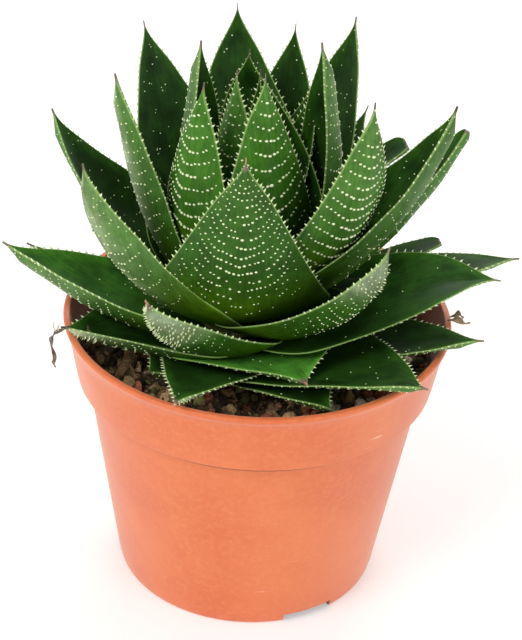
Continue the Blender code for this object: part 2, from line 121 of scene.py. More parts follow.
# Each leaf, from the growing point outwards, in millimetres and degrees: the azimuth, reach and
# height of its tip, its rise at the base and at the tip, its width, the azimuth, radius and height
# of its base in the stem, its roll, the depth of its gutter, how much of its tip is missing, the
# width of its foot as a part of its greatest width, and how far its blunt end stands askew
Leaf = namedtuple("Leaf", "azimuth reach height rise_base rise_tip width "
                          "base_azimuth base_radius base_height roll gutter dead neck slant",
                  defaults=(0, 0.26, 0, 0.5, 0))
LEAVES = [Leaf(*row) for row in (
    (60, 6, 169, 88, 88, 13, 60, 1, 104),
    (245, 8, 174, 80, 90, 24, 225, 3, 102),
    (30, 23, 165, 70, 88, 28, 35, 3, 101),
    (285, 18, 178, 58, 98, 36, 308, 4, 99.5, 0, .26, 0, .6),
    (140, 19, 174, 48, 92, 36, 162, 5, 99, 12, .5),
    (92, 12, 172, 48, 104, 50, 30, 7, 98.3),
    (4, 20, 180, 34, 98, 40, 0, 8, 97.5, 18, .5),
    (230, 19, 173, 50, 98, 40, 215, 5, 96.5, 0, .26, 0, .6),
    (97, 43, 174, 60, 84, 50, 86, 5, 95.5),
    (50, 48, 174, 56, 84, 42, 46, 6, 95),
    (321, 45, 176, 40, 90, 40, 335, 6, 94, -22, .24, 0, .6),
    (181, 38.5, 168, 40, 76, 42, 178, 6, 94, 18, .30),
    (271, 41, 163.5, 26, 84, 54, 270, 7, 93, 0, .20, 0, .75),
    (125, 60, 164, 54, 66, 46, 127, 7, 92.5),
    (352, 60, 167, 38, 76, 46, 350, 7, 92, 10, .48, 0, .65),
    (75, 50, 166, 52, 84, 40, 74, 8, 91.5),
    (14, 71, 151.5, 62, 8, 22, 16, 8, 91, 0, .26, .25, .5, 15),
    (207, 51, 150, 28, 80, 46, 212, 8, 91, 14, .24, 0, .8),
    (165, 61, 148, 40, 70, 44, 160, 7, 91),
    (317, 57, 137, 16, 78, 40, 308, 8, 91, 0, .28, 0, .8),
    (9, 68.5, 156.5, 30, 66, 30, 9, 9, 90, 0, .5, .07),
    (54, 64, 138, 32, 54, 36, 54, 9, 88.5, 0, .2),
    (104, 66, 136, 32, 54, 38, 104, 9, 88.5, 0, .2),
    (9, 80, 118.5, 24, 14, 17, 12, 10, 88.5, 0, .15, .25, .5, -10),
    (184, 72, 113, 12, 33, 44, 200, 9, 85, 0, .50, 0, .7),
    (239, 50, 118, 0, 60, 42, 254, 9, 87.5, 0, .30, 0, .8),
    (140, 68, 122, 18, 36, 36, 140, 9, 87, 0, .15),
    (356, 79, 109, 6, -8, 50, 341, 10, 86.5, 20, .30, 0, .8),
    (80, 70, 116, 16, 30, 38, 80, 9, 86, 0, .15),
    (151, 55, 101, 10, 14, 32, 151, 10, 86, 0, .12),
    (203, 60, 95.5, 10, 8, 34, 206, 10, 84.5, 0, .15, .22, .5, 38),
    (8, 87, 107.3, 14, 4, 38, 10, 10, 85.5, 0, .12),
    (42, 62, 104, 14, 22, 34, 42, 10, 85, 0, .15),
    (296, 50, 93, 14, -8, 56, 290, 10, 84.5, 0, .10, 0, .8),
    (170, 68, 103.5, 6, 20, 26, 170, 10, 82, 0, .12),
    (118, 70, 102, 10, 12, 36, 118, 10, 83.5, 0, .15),
    (316, 77, 100, 6, 12, 52, 315, 10, 83, 0, .10, 0, .7),
    (205, 57.5, 96, 8, 16, 50, 214, 10, 82.5, 0, .35, 0, .75),
    (60, 68, 100, 8, 10, 34, 60, 10, 82.5, 0, .15),
    (236, 46.5, 90.5, 4, 12, 40, 240, 10, 80.5, -6, .12),
    (343, 77, 98, 4, 12, 42, 345, 10, 81.5, 0, .12),
    (255, 63.5, 95, 12, 4, 36, 258, 10, 81.5, 0, .10, 0, .7),
    (300, 59, 89, 2, 4, 38, 294, 10, 81, 0, .10),
)]

# Fine form of the leaves
SEED = 7
OUTLINE_SAMPLES = 401
OUTLINE_SOFTENING = 20
BOTTOM_WIDTH = 0.97
MARGIN_BULGE = 0.18 * MM
RIPPLE = 0.13 * MM
DEAD_ROUND = 3.0 * MM
DEAD_SHRINK = 0.8
DEAD_LENGTH = 1.0 * MM
SKIN, PEARL = 0, 1
VALUES = ("place", "face", "tone")
PEARL_SIZE = (0.54 * MM, 0.42 * MM, 0.32 * MM)
UPPER_PEARL_SIZE = (0.28 * MM, 0.28 * MM, 0.2 * MM)
BRISTLY_SIZE = (0.34 * MM, 0.34 * MM, 0.95 * MM)
BRISTLY_PITCH = 1.25 * MM
BRISTLY_ROW = 1.7 * MM
PEARL_WANDER = 0.11 * MM
ROW_WIDTH = 0.94
ROW_CURVE = 2.4
ROW_SWAY = 0.3 * MM
ROW_WAVE = 1.5 * MM
UPPER_PEARL_AREA = 28 * MM * MM
LOW_LEAF = 140
LOW_PEARLS = 0.28
TOOTH_SPACING = 2.9 * MM
TIP_TOOTH_SPACING = 1.7 * MM
TOOTH_SIZE = (0.32 * MM, 0.55 * MM, 1.1 * MM)
TOOTH_LEVEL = 0.45
NEAR_SHARE = 0.004
NEAR_ACROSS = 0.01
PEARL_REACH = 0.25 * MM
TOOTH_REACH = 0.35 * MM

# Sections of the small turned forms: rings of radius, height and lean, in parts of their size
PEARL_SIDES = 6
PEARL_PROFILE = [(1.0, -0.35, 0.0), (0.74, 0.62, 0.0), (0.0, 1.0, 0.0)]
BRISTLE_PROFILE = [(1.0, -0.2, 0.0), (0.55, 0.45, 0.4), (0.0, 1.1, 1.4)]
TOOTH_PROFILE = [(1.0, -0.25, -0.1), (0.55, 0.42, 0.2), (0.0, 1.05, 0.9)]

# The pot's bead, sheen and painted shadow under the band, the crumbs and the dried pieces
LIP_BEAD = 0.7 * MM
POT_SHEEN = 0.3
HALF_WALL = 0.8 * MM
SHADOW_FOOT = 2.8 * MM
SHADOW_TOP = 2.2 * MM
CRUMB_LEAST = 0.4 * MM
CRUMB_MOST = 2.6 * MM
DRY_THICKNESS = 0.2 * MM
STRIP_SIDES = 8
# Dried pieces: points in millimetres, and for the scraps how pale and how tan they are
DRY_CURL = [(-56.0, -24.0, 95.6), (-57.8, -24.9, 95.3), (-59.8, -25.6, 94.2), (-61.0, -26.0, 91.8),
            (-60.7, -26.3, 89.0), (-60.0, -26.3, 86.4), (-60.2, -26.5, 84.4), (-59.6, -26.6, 82.9)]
DRY_FORKS = [[(-59.4, -25.4, 94.8), (-60.2, -25.6, 96.6), (-60.0, -25.9, 98.6)],
             [(-59.0, -25.2, 95.0), (-58.8, -25.6, 96.8), (-58.1, -25.6, 98.0)]]
DRY_SCRAPS = [([(58.8, -1.0, 91.2), (61.0, -2.2, 92.6), (63.2, -3.2, 91.7), (65.4, -3.6, 92.2)],
               (0.15, 0.75, 0)),
              ([(59.6, 1.0, 91.3), (61.6, -0.2, 93.3), (63.4, -1.6, 92.6)], (0.3, 0.6, 0))]

# Studio, and each lamp's name, place, size, energy and colour
FLOOR_HALF = 4.0
WORLD_STRENGTH = 0.72
WHITE = (1.0, 1.0, 1.0, 1.0)
LAMP_TARGET = Vector((0, 0, 0.1))
LAMPS = [("key", (-0.75, -0.75, 1.05), (0.7, 0.7), 8.0, (1.0, 0.98, 0.95)),
         ("fill", (0.9, -0.8, 0.6), (0.6, 0.6), 2.5, (0.95, 0.98, 1.0)),
         ("back", (0.1, 0.9, 0.9), (0.8, 0.5), 5.0, (1.0, 1.0, 1.0))]


def rgb(red, green, blue):
    """A colour for a socket, from sRGB numbers of 0 to 255."""
    def linear(c):
        c /= 255
        return c / 12.92 if c <= 0.04045 else ((c + 0.055) / 1.055) ** 2.4
    return (linear(red), linear(green), linear(blue), 1.0)


UPPER_DARK = rgb(22, 49, 12)
UPPER_LIGHT = rgb(39, 75, 21)
UPPER_EDGE = rgb(58, 106, 26)
UNDER_DARK = rgb(32, 78, 6)
UNDER_GREEN = rgb(56, 110, 18)
# A yellow-green for the foot of the lower face, made lighter as painted light where the feet lie in shade
UNDER_YELLOW_AND_LIGHT = rgb(112, 160, 6)
UNDER_GREY = rgb(124, 148, 100)
# A pale grey-white for the waxy bloom and for the painted glare on one side of the lower face
UNDER_WAX_AND_GLARE = rgb(176, 192, 160)
RIM_PALE = rgb(150, 182, 104)
PEARL_GREEN = rgb(214, 236, 170)
PEARL_PALE = rgb(244, 252, 214)
PEARL_WARM = rgb(226, 220, 176)
DRY_DARK = rgb(78, 66, 56)
DRY_LIGHT = rgb(150, 134, 112)
DRY_WHITE = rgb(214, 206, 190)
DRY_TAN = rgb(186, 144, 104)
SPINE_PINK = rgb(206, 146, 120)
POT_DEEP = rgb(214, 100, 46)
POT_ORANGE = rgb(226, 118, 62)
POT_LIGHT = rgb(231, 136, 84)
POT_SCUFF = rgb(248, 196, 164)
# Painted shade on the inner wall of the pot
POT_INSIDE_SHADE = rgb(150, 60, 40)
# Painted shadow under the band's ledge
POT_LEDGE_SHADOW = rgb(138, 58, 34)
SOIL_DARK = rgb(46, 39, 29)
SOIL_BROWN = rgb(104, 84, 58)
SOIL_TAN = rgb(140, 114, 82)
SOIL_MOSSY = rgb(92, 94, 52)
BARK_RED = rgb(122, 72, 50)
GRIT_PALE = rgb(190, 178, 156)
STEM_DARK = rgb(84, 92, 44)
STEM_PALE = rgb(136, 140, 78)
FLOOR_PALE = rgb(222, 222, 221)
FLOOR_WHITE = rgb(228, 228, 228)
FLOOR_GLOW = 0.3

# How a leaf is dressed: the spacing of the pearl rows at their start and at the tip, the spacing in
# a row, the shares of the length where rows and teeth start, how far a row climbs as a part of the
# half width, the part of the pearls left out, their size, the share from which the lower face is
# bristly, the size of the teeth, the lightness of the lower face, which is the leaf's own tone with
# painted light and shade, its greyness, its yellowness at the foot, which is also lightened as painted
# light, its pale band, signed by its side, which is painted glare with the waxy bloom, the lightness
# of the upper face, again its own tone with painted light and shade, and the pinkness of the point
Look = namedtuple("Look", "row_first row_last pitch start teeth arc drop pearl bristly tooth "
                          "bright grey yellow band upper pink",
                  defaults=(4.4, 2.4, 1.4, 0.24, 0.3, 0.45, 0.1, 0.85, 2.0, 0.75, 1.0, 0.25, 0.35, 0,
                            1.0, 0))
# Each leaf's lightness of the lower and of the upper face holds painted light and shade as well as its own
# tone, and its band is painted glare with the waxy bloom
LOOKS = {
    2: Look(row_last=2.6, bright=1.1, start=0.2),
    4: Look(6.0, 3.3, 1.3, arc=0.43, drop=0.05, pearl=1.08, start=0.2,
            grey=0.12, yellow=0.5),
    5: Look(grey=0.5, band=-0.9),
    7: Look(grey=0.45, band=0.9),
    8: Look(5.2, 3.0, 1.3, arc=0.5, drop=0.05, pearl=1.08, start=0.2,
            bright=1.1, grey=0.1, yellow=0.6),
    11: Look(4.6, 3.0, 1.3, drop=0.05, pearl=1.05, grey=0.3, yellow=1.0),
    12: Look(drop=0.3, grey=0.3, band=-1.4),
    13: Look(4.2, 1.8, 1.3, start=0.3, arc=0.65, pearl=0.82,
             bright=0.68, grey=0.16, yellow=0.6, pink=1),
    15: Look(drop=0.5, pearl=0.7, bright=0.8, grey=0.4, band=0.8, upper=1.1),
    18: Look(drop=0.4, pearl=0.75, grey=0.6, bright=1.04, yellow=0.7, band=-0.8),
    20: Look(3.0, 2.0, start=0.36, drop=0.25, pearl=0.66, bristly=0.74,
             tooth=0.8, bright=0.7, grey=0.15, yellow=0.5),
    21: Look(band=0.7, upper=1.3),
    25: Look(drop=0.2, grey=0.4, band=-0.7, tooth=1.0, upper=2.6),
    26: Look(3.0, 2.0, start=0.36, drop=0.25, pearl=0.66, bristly=0.62,
             teeth=0.25, tooth=1.0, bright=0.8, grey=0.15, pink=1),
    28: Look(tooth=0.8, upper=1.6),
    34: Look(row_first=4.0, bristly=0.9, tooth=0.8, upper=4.4, pink=1),
    38: Look(row_first=3.8, bristly=0.72, tooth=0.9, grey=0.45),
    42: Look(row_first=3.8, bristly=0.8, tooth=0.9, grey=0.4, pink=1),
}


def direction(rise, azimuth):
    e, a = radians(rise), radians(azimuth)
    return np.array([cos(e) * cos(a), cos(e) * sin(a), sin(e)])


def unit(vectors):
    return vectors / np.maximum(np.linalg.norm(vectors, axis=-1, keepdims=True), 1e-12)


def soft_outline(neck):
    """Half width along a leaf as a part of the greatest, with its one corner rounded off."""
    share = np.linspace(0, 1, OUTLINE_SAMPLES)
    t = np.clip((share - WIDEST) / (1 - WIDEST), 0, 1)
    foot = neck + (1 - neck) * np.sin(np.minimum(share / WIDEST, 1) * pi / 2)
    outline = np.where(share < WIDEST, foot, (1 - t) ** 1.05 + 0.3 * t * (1 - t))
    kernel = np.hanning(2 * OUTLINE_SOFTENING + 1)
    padded = np.pad(outline, OUTLINE_SOFTENING, mode="edge")
    soft = np.convolve(padded, kernel / kernel.sum(), mode="valid")
    near_end = np.clip((1 - share) / 0.12, 0, 1) * np.clip(share / 0.1, 0, 1)
    return share, soft * near_end + outline * (1 - near_end)


class Blade:
    """The form of one leaf: a bent, gutter-shaped blade that can be asked for points on its faces."""

    def __init__(self, number, leaf):
        self.number, self.leaf = number, leaf
        self.look = LOOKS.get(number, Look())
        self.rng = np.random.default_rng(SEED + number)
        self.waves = self.rng.random((4, 2)) * tau
        root = np.array([STEM_X, 0, leaf.base_height * MM])
        root += direction(0, leaf.base_azimuth) * leaf.base_radius * MM
        tip = np.array([STEM_X, 0, leaf.height * MM])
        tip += direction(0, leaf.azimuth) * leaf.reach * MM
        pull = np.linalg.norm(tip - root) * BEND
        swing = leaf.azimuth - leaf.base_azimuth
        first = root + direction(leaf.rise_base, leaf.base_azimuth) * pull
        second = tip - direction(leaf.rise_tip, leaf.azimuth + 0.3 * swing) * pull
        t = np.linspace(0, 1, CURVE_SAMPLES)[:, None]
        curve = (1 - t) ** 3 * root + 3 * (1 - t) ** 2 * t * first
        curve += 3 * (1 - t) * t ** 2 * second + t ** 3 * tip
        run = np.concatenate([[0], np.cumsum(np.linalg.norm(np.diff(curve, axis=0), axis=1))])
        self.length = run[-1]
        self.end = 1 - leaf.dead
        self.share = run / run[-1]
        self.spine = curve
        ahead = unit(np.gradient(curve, axis=0))
        facing = np.radians(leaf.base_azimuth + swing * self.share)
        side = np.stack([-np.sin(facing), np.cos(facing), np.zeros_like(facing)], axis=1)
        side = unit(side - ahead * np.sum(side * ahead, axis=1)[:, None])
        up = np.cross(ahead, side)
        roll = np.radians(leaf.roll * np.minimum(1, 1.5 * self.share))[:, None]
        self.side = side * np.cos(roll) + up * np.sin(roll)
        self.up = up * np.cos(roll) - side * np.sin(roll)
        self.ahead = ahead
        self.outline = soft_outline(leaf.neck)

    def read(self, table, share):
        return np.stack([np.interp(share, self.share, table[:, k]) for k in range(3)], axis=-1)

    def half(self, share):
        """Half the width: the outline, with a slender point, or rounded off where the tip has died."""
        half = np.interp(share, *self.outline) * self.leaf.width / 2 * MM
        if self.leaf.dead:
            left = np.clip((self.end - share) * self.length / DEAD_ROUND, 0, 1)
            return half * np.sqrt(1 - (1 - left) ** 2 * DEAD_SHRINK)
        left = np.clip((1 - share) * self.length / POINT_LENGTH, 0, 1)
        bristle = BRISTLE_RADIUS * np.minimum(1, 0.4 + 2.5 * left)
        return np.maximum(half * (1 - (1 - left) ** POINT_POWER), bristle)

    def thickness(self, share, half):
        base = 1 - BASE_THINNING * np.maximum(0, 1 - share / WIDEST)
        full = min(THICKNESS * self.leaf.width * MM, THICKEST)
        return np.minimum(full * (1 - TAPER * share) * base, 0.8 * half + 0.2 * MM)

    def ripple(self, share, across):
        """Small unevenness of the blade, none at its foot and point."""
        w = self.waves
        long_way, cross_way = share * self.length / MM, across * self.leaf.width / 2
        wave = np.sin(long_way / 3.1 + w[0, 0]) * np.sin(cross_way / 4.3 + w[0, 1])
        wave += 0.7 * np.sin(long_way / 5.3 + w[1, 0] + cross_way / 7.1)
        wave += 0.9 * across * np.sin(long_way / 6.7 + w[2, 0])
        return wave * RIPPLE * np.clip(share / 0.3, 0, 1) * np.clip((1 - share) / 0.15, 0, 1)

    def at(self, share, across, under):
        """Points of the blade: under is 0 on the upper face, 1 on the lower, between on the margin."""
        share, across, under = np.broadcast_arrays(share, across, under)
        half = self.half(share)
        wide = np.abs(across)
        depth = self.thickness(share, half) * (1 - np.minimum(wide, 1) ** KEEL_POWER)
        bulge = 4 * under * (1 - under) * MARGIN_BULGE * (wide > 0.999)
        bulge = bulge * np.clip(half / (2 * MM), 0, 1)
        out = across * half + np.sign(across) * bulge
        rise = self.leaf.gutter * half * wide ** GUTTER_POWER
        edge = np.minimum(FINE_EDGE, 0.3 * MM + 0.25 * half)
        rise = rise - under * (depth + edge) + self.ripple(share, across)
        askew = out * tan(radians(self.leaf.slant)) * share ** 4
        return (self.read(self.spine, share) + self.read(self.side, share) * out[..., None]
                + self.read(self.ahead, share) * askew[..., None]
                + self.read(self.up, share) * rise[..., None])

    def frame_at(self, share, across, under):
        """Point, direction to the point of the leaf, direction across, and normal of the face."""
        ahead = unit(self.at(share + NEAR_SHARE, across, under)
                     - self.at(share - NEAR_SHARE, across, under))
        cross = unit(self.at(share, across + NEAR_ACROSS, under)
                     - self.at(share, across - NEAR_ACROSS, under))
        normal = unit(np.cross(ahead, cross)) * (1 - 2 * under)
        return self.at(share, across, under), ahead, cross, normal


def linked(name, data):
    """A new object in the scene."""
    obj = bpy.data.objects.new(name, data)
    bpy.context.scene.collection.objects.link(obj)
    return obj


class Shape:
    """Vertices, faces and per-vertex values gathered into one mesh."""

    def __init__(self, names):
        self.verts, self.faces, self.slots = [], [], []
        self.values = {name: [] for name in names}
        self.count = 0

    def add(self, verts, faces, slot, **values):
        """Add vertices and faces (lists of their numbers), with one value each or one for all."""
        verts = np.asarray(verts, dtype=float).reshape(-1, 3)
        self.verts.append(verts)
        self.faces += [tuple(int(v) + self.count for v in face) for face in faces]
        self.slots += [slot] * len(faces)
        for name, kept in self.values.items():
            value = np.asarray(values.get(name, (0, 0, 0)), dtype=float).reshape(-1, 3)
            kept.append(np.broadcast_to(value, verts.shape))
        self.count += len(verts)

    def build(self, name, materials):
        mesh = bpy.data.meshes.new(name)
        mesh.from_pydata(np.concatenate(self.verts).tolist(), [], self.faces)
        for mat in materials:
            mesh.materials.append(mat)
        mesh.polygons.foreach_set("material_index", self.slots)
        mesh.polygons.foreach_set("use_smooth", [True] * len(self.faces))
        for key, kept in self.values.items():
            layer = mesh.attributes.new(key, "FLOAT_VECTOR", "POINT")
            layer.data.foreach_set("vector", np.concatenate(kept).astype(np.float32).ravel())
        mesh.update()
        return linked(name, mesh)


def loft_faces(rings, columns, closed=False):
    """Quads between rings of points, each ring a loop, and a face over each end if closed."""
    faces = []
    for ring in range(rings - 1):
        a, b = ring * columns, (ring + 1) * columns
        for k in range(columns):
            n = (k + 1) % columns
            faces.append((a + k, a + n, b + n, b + k))
    if closed:
        faces.append(tuple(reversed(range(columns))))
        faces.append(tuple(range((rings - 1) * columns, rings * columns)))
    return faces


def blade_rings(blade, count, top_points, bottom_points, margin_steps, grow=0.0):
    """Rings of points round a blade, closer towards its tip, and where on the blade each point is."""
    steps = [(k + 1) / (margin_steps + 1) for k in range(margin_steps)]
    loop = [(x, 0.0) for x in -np.cos(np.linspace(0, pi, top_points))]
    loop += [(1.0, u) for u in steps]
    loop += [(x, 1.0) for x in np.cos(np.linspace(0, pi, bottom_points)) * BOTTOM_WIDTH]
    loop += [(-1.0, 1 - u) for u in steps]
    column, level = np.array(loop).T
    stations = blade.end * (1 - (1 - np.linspace(0, 1, count)) ** CROWDING)
    share, across = np.meshgrid(stations, column, indexing="ij")
    under = np.broadcast_to(level, share.shape)
    points = blade.at(share, across, under)
    if grow:
        up, side = blade.read(blade.up, share), blade.read(blade.side, share)
        points = points + up * ((1 - 2 * under) * grow)[..., None]
        points = points + side * (np.sign(across) * (np.abs(across) > 0.9) * grow)[..., None]
    return points, share, across, under


def add_blade(shape, blade):
    """The blade itself, closed at its foot and drawn out to a bristle or a dried end."""
    points, share, across, under = blade_rings(blade, STATION_COUNT, TOP_POINTS, BOTTOM_POINTS, 2)
    half = blade.half(share) / MM
    rim = (1 - np.minimum(np.abs(across), 1)) * half
    if blade.leaf.dead:
        brown = np.clip(1 - (blade.end - share) * blade.length / DEAD_LENGTH, 0, 1)
    else:
        brown = np.clip(1 - (1 - share) * blade.length / BRISTLE_LENGTH, 0, 1)
    place = np.stack([across * half, share * blade.length / MM, share], axis=-1)
    look = blade.look
    face = np.stack([under, rim, brown * (1 + look.pink)], axis=-1)
    bloom_and_glare = look.grey * np.clip((share - 0.15) / 0.85, 0, 1) ** 1.3
    # A pale band on one side of the lower face: painted glare, with the waxy bloom
    bloom_and_glare += (np.clip(across * copysign(1.0, look.band) * 1.6 + 1.0, 0, 1)
              * abs(look.band) * np.clip((share - 0.1) / 0.3, 0, 1))
    bloom_and_glare += 0.9 * np.clip((share - look.bristly + 0.06) / 0.12, 0, 1)
    # Lightness per face: the leaf's own tone with painted light and shade
    bright = look.upper + (look.bright - look.upper) * under
    tone = np.stack([bright, bloom_and_glare, np.full_like(share, look.yellow)], axis=-1)
    shape.add(points, loft_faces(*points.shape[:2], closed=True), SKIN, place=place, face=face, tone=tone)


def make_cutter(blade):
    """A plainer copy of a blade, a little larger, to cut the older leaves with."""
    points, *_ = blade_rings(blade, CUTTER_STATIONS, CUTTER_POINTS, CUTTER_POINTS, 0, CUTTER_GROWTH)
    shape = Shape([])
    shape.add(points, loft_faces(*points.shape[:2], closed=True), SKIN)
    return shape.build(f"cutter_{blade.number:02d}", [])


def tree_of(obj):
    mesh = obj.data
    return BVHTree.FromPolygons([v.co for v in mesh.vertices],
                                [tuple(p.vertices) for p in mesh.polygons])


def cut(obj, cutter):
    boolean = obj.modifiers.new("cut", "BOOLEAN")
    boolean.operation = "DIFFERENCE"
    boolean.solver = "MANIFOLD"
    boolean.object = cutter
    depsgraph = bpy.context.evaluated_depsgraph_get()
    mesh = bpy.data.meshes.new_from_object(obj.evaluated_get(depsgraph))
    obj.modifiers.clear()
    old = obj.data
    obj.data = mesh
    bpy.data.meshes.remove(old)


def keep_largest(obj):
    """Leave only the largest group of faces that hang together."""
    bm = bmesh.new()
    bm.from_mesh(obj.data)
    left, largest = set(bm.faces), set()
    while left:
        island, front = set(), [next(iter(left))]
        while front:
            face = front.pop()
            if face not in island:
                island.add(face)
                front += [other for edge in face.edges for other in edge.link_faces]
        left -= island
        largest = max(largest, island, key=len)
    bmesh.ops.delete(bm, geom=[face for face in bm.faces if face not in largest], context="FACES")
    bm.to_mesh(obj.data)
    bm.free()


def spread(shape, profile, points, right, ahead, normal, size, tone):
    """Add one small turned form at each point: rings of (radius, height, lean), then its apex.

    Each point has its own three directions and its size along each of them.
    """
    sides = PEARL_SIDES
    turn = np.arange(sides) * tau / sides
    template = []
    for radius, height, lean in profile[:-1]:
        template += [(radius * cos(a), radius * sin(a) + lean, height) for a in turn]
    template.append((0.0, profile[-1][2], profile[-1][1]))
    template = np.array(template)
    moved = sum(template[None, :, k, None] * way[:, None, :] * size[:, None, k, None]
                for k, way in enumerate((right, ahead, normal)))
    verts = points[:, None, :] + moved
    rings = len(profile) - 1
    one = loft_faces(rings, sides)
    top = (rings - 1) * sides
    one += [(top + k, top + (k + 1) % sides, rings * sides) for k in range(sides)]
    one.append(tuple(reversed(range(sides))))
    each = len(template)
    faces = [tuple(v + k * each for v in face) for k in range(len(points)) for face in one]
    shape.add(verts, faces, PEARL, tone=np.repeat(tone, each, axis=0))


def pearl_places(blade):
    """Share, place across and size of the pearls on the lower face, in rows that climb outwards."""
    look, rng = blade.look, blade.rng
    places = []
    run = look.start * blade.length
    stop = (blade.end - 0.02) * blade.length
    while run < stop:
        share = run / blade.length
        part = (share - look.start) / (1 - look.start)
        half = float(blade.half(share)) * ROW_WIDTH
        fine = share > look.bristly
        pitch = BRISTLY_PITCH if fine else look.pitch * MM
        first = -half + rng.random() * pitch
        sway = rng.random() * tau
        lost = look.drop * 0.4 if fine else look.drop + 0.45 * max(0, 1 - 3.3 * part)
        grown = (0.6 + 0.4 * min(1, 3 * part + 0.1)) * (1 - 0.3 * part ** 3)
        for place in np.arange(first, half, pitch):
            across = (place + rng.normal() * 0.12 * pitch) / half * ROW_WIDTH
            climb = look.arc * half * abs(across) ** ROW_CURVE + rng.normal() * PEARL_WANDER
            climb += ROW_SWAY * sin(place / ROW_WAVE + sway)
            where = share + climb / blade.length
            if rng.random() < lost or where > blade.end - 0.015:
                continue
            full = 1.0 if fine else look.pearl * (1.12 - 0.4 * abs(across))
            places.append((where, across, (0.8 + 0.4 * rng.random()) * grown * full))
        spacing = look.row_first + (look.row_last - look.row_first) * part
        run += (BRISTLY_ROW if fine else spacing * MM) * (0.94 + 0.12 * rng.random())
    return np.array(places).reshape(-1, 3).T


def upper_places(blade):
    """Share, place across and size of the few small pearls on the upper face."""
    rng = blade.rng
    area = blade.length * blade.leaf.width * MM * 0.6
    count = int(area / UPPER_PEARL_AREA * (1.0 if blade.leaf.height > LOW_LEAF else LOW_PEARLS))
    shares = 0.3 + 0.66 * rng.random(count) ** 0.8
    acrosses = rng.uniform(-0.9, 0.9, count)
    keep = rng.random(count) < blade.half(shares) / (blade.leaf.width / 2 * MM)
    return shares[keep] * blade.end, acrosses[keep], 0.6 + 0.5 * rng.random(keep.sum())


def on_surface(tree, points, reach):
    """Which points still lie on the trimmed blade."""
    return np.array([tree.find_nearest(Vector(p), reach)[0] is not None for p in points], dtype=bool)


def add_pearls(shape, blade, tree):
    for under, (share, across, size) in ((1.0, pearl_places(blade)), (0.0, upper_places(blade))):
        point, ahead, cross, normal = blade.frame_at(share, across, under)
        kept = on_surface(tree, point, PEARL_REACH)
        share, size, point, ahead, cross, normal = (
            values[kept] for values in (share, size, point, ahead, cross, normal))
        bristly = (share > blade.look.bristly) & (under == 1.0)
        seed = blade.rng.random((3, len(share))).T
        groups = ((bristly, BRISTLE_PROFILE, BRISTLY_SIZE),
                  (~bristly, PEARL_PROFILE, PEARL_SIZE if under else UPPER_PEARL_SIZE))
        for chosen, profile, full in groups:
            if chosen.any():
                scale = size[chosen, None] * np.array(full)
                spread(shape, profile, point[chosen], cross[chosen], ahead[chosen],
                       normal[chosen], scale, seed[chosen])


def add_teeth(shape, blade, tree):
    """A row of small pale teeth that lean forward, on both margins."""
    look, rng = blade.look, blade.rng
    for sign in (-1.0, 1.0):
        shares, run = [], look.teeth * blade.length
        stop = (blade.end - 0.01) * blade.length - 0.5 * BRISTLE_LENGTH
        while run < stop:
            part = run / blade.length
            shares.append(part)
            run += (TOOTH_SPACING + (TIP_TOOTH_SPACING - TOOTH_SPACING) * part) * rng.uniform(0.8, 1.2)
        share = np.array(shares)
        grown = np.clip((share - look.teeth) / 0.15, 0.35, 1) * np.clip((1 - share) / 0.1, 0.5, 1)
        count = len(share)
        point = blade.at(share, sign, TOOTH_LEVEL)
        ahead = unit(blade.at(share + NEAR_SHARE, sign, TOOTH_LEVEL) - point)
        slope = GUTTER_POWER * blade.leaf.gutter
        outward = blade.read(blade.side, share) * sign + blade.read(blade.up, share) * slope
        outward = unit(outward - ahead * np.sum(outward * ahead, axis=1)[:, None])
        thick = np.cross(outward, ahead)
        kept = on_surface(tree, point, TOOTH_REACH)
        size = (look.tooth * grown * rng.uniform(0.8, 1.2, count))[:, None] * np.array(TOOTH_SIZE)
        seed = rng.random((count, 3))
        spread(shape, TOOTH_PROFILE, point[kept], thick[kept], ahead[kept], outward[kept],
               size[kept], seed[kept])


def make_leaves(materials):
    cutters = []
    for number, leaf in enumerate(LEAVES, start=1):
        blade = Blade(number, leaf)
        shape = Shape(VALUES)
        add_blade(shape, blade)
        body = shape.build("body", materials)
        tree = tree_of(body)
        touching = [cutter for cutter, cutter_tree in cutters if tree.overlap(cutter_tree)]
        for cutter in touching:
            cut(body, cutter)
        if touching:
            keep_largest(body)
            tree = tree_of(body)
        extras = Shape(VALUES)
        add_pearls(extras, blade, tree)
        add_teeth(extras, blade, tree)
        dress = extras.build("extras", materials)
        obj = joined(f"blade_{number:02d}", [body, dress])
        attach(obj, "root")
        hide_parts(f"leaf_{number:02d}")
        cutter = make_cutter(blade)
        cutters.append((cutter, tree_of(cutter)))
    for cutter, _ in cutters:
        bpy.data.objects.remove(cutter)


def joined(name, objects):
    """One object from several meshes with the same materials and values."""
    bm = bmesh.new()
    for obj in objects:
        bm.from_mesh(obj.data)
    mesh = bpy.data.meshes.new(name)
    bm.to_mesh(mesh)
    bm.free()
    for mat in objects[0].data.materials:
        mesh.materials.append(mat)
    for obj in objects:
        bpy.data.objects.remove(obj)
    return linked(name, mesh)


def arc(centre, radius, start, stop, steps):
    """Points of an arc in the plane of a profile, angles in degrees from outwards to up."""
    return [(centre[0] + radius * cos(radians(a)), centre[1] + radius * sin(radians(a)))
            for a in np.linspace(start, stop, steps)]


def inner_radius(z):
    """Radius of the inside of the pot's wall at a height."""
    if z >= SHELF:
        share = (z - STEP) / BAND_HEIGHT
        return (1 - share) * (BAND_FOOT_RADIUS - WALL) + share * (RIM_RADIUS - LIP_WIDTH)
    share = min(1.0, z / STEP)
    return (1 - share) * FOOT_RADIUS + share * BODY_TOP_RADIUS - WALL


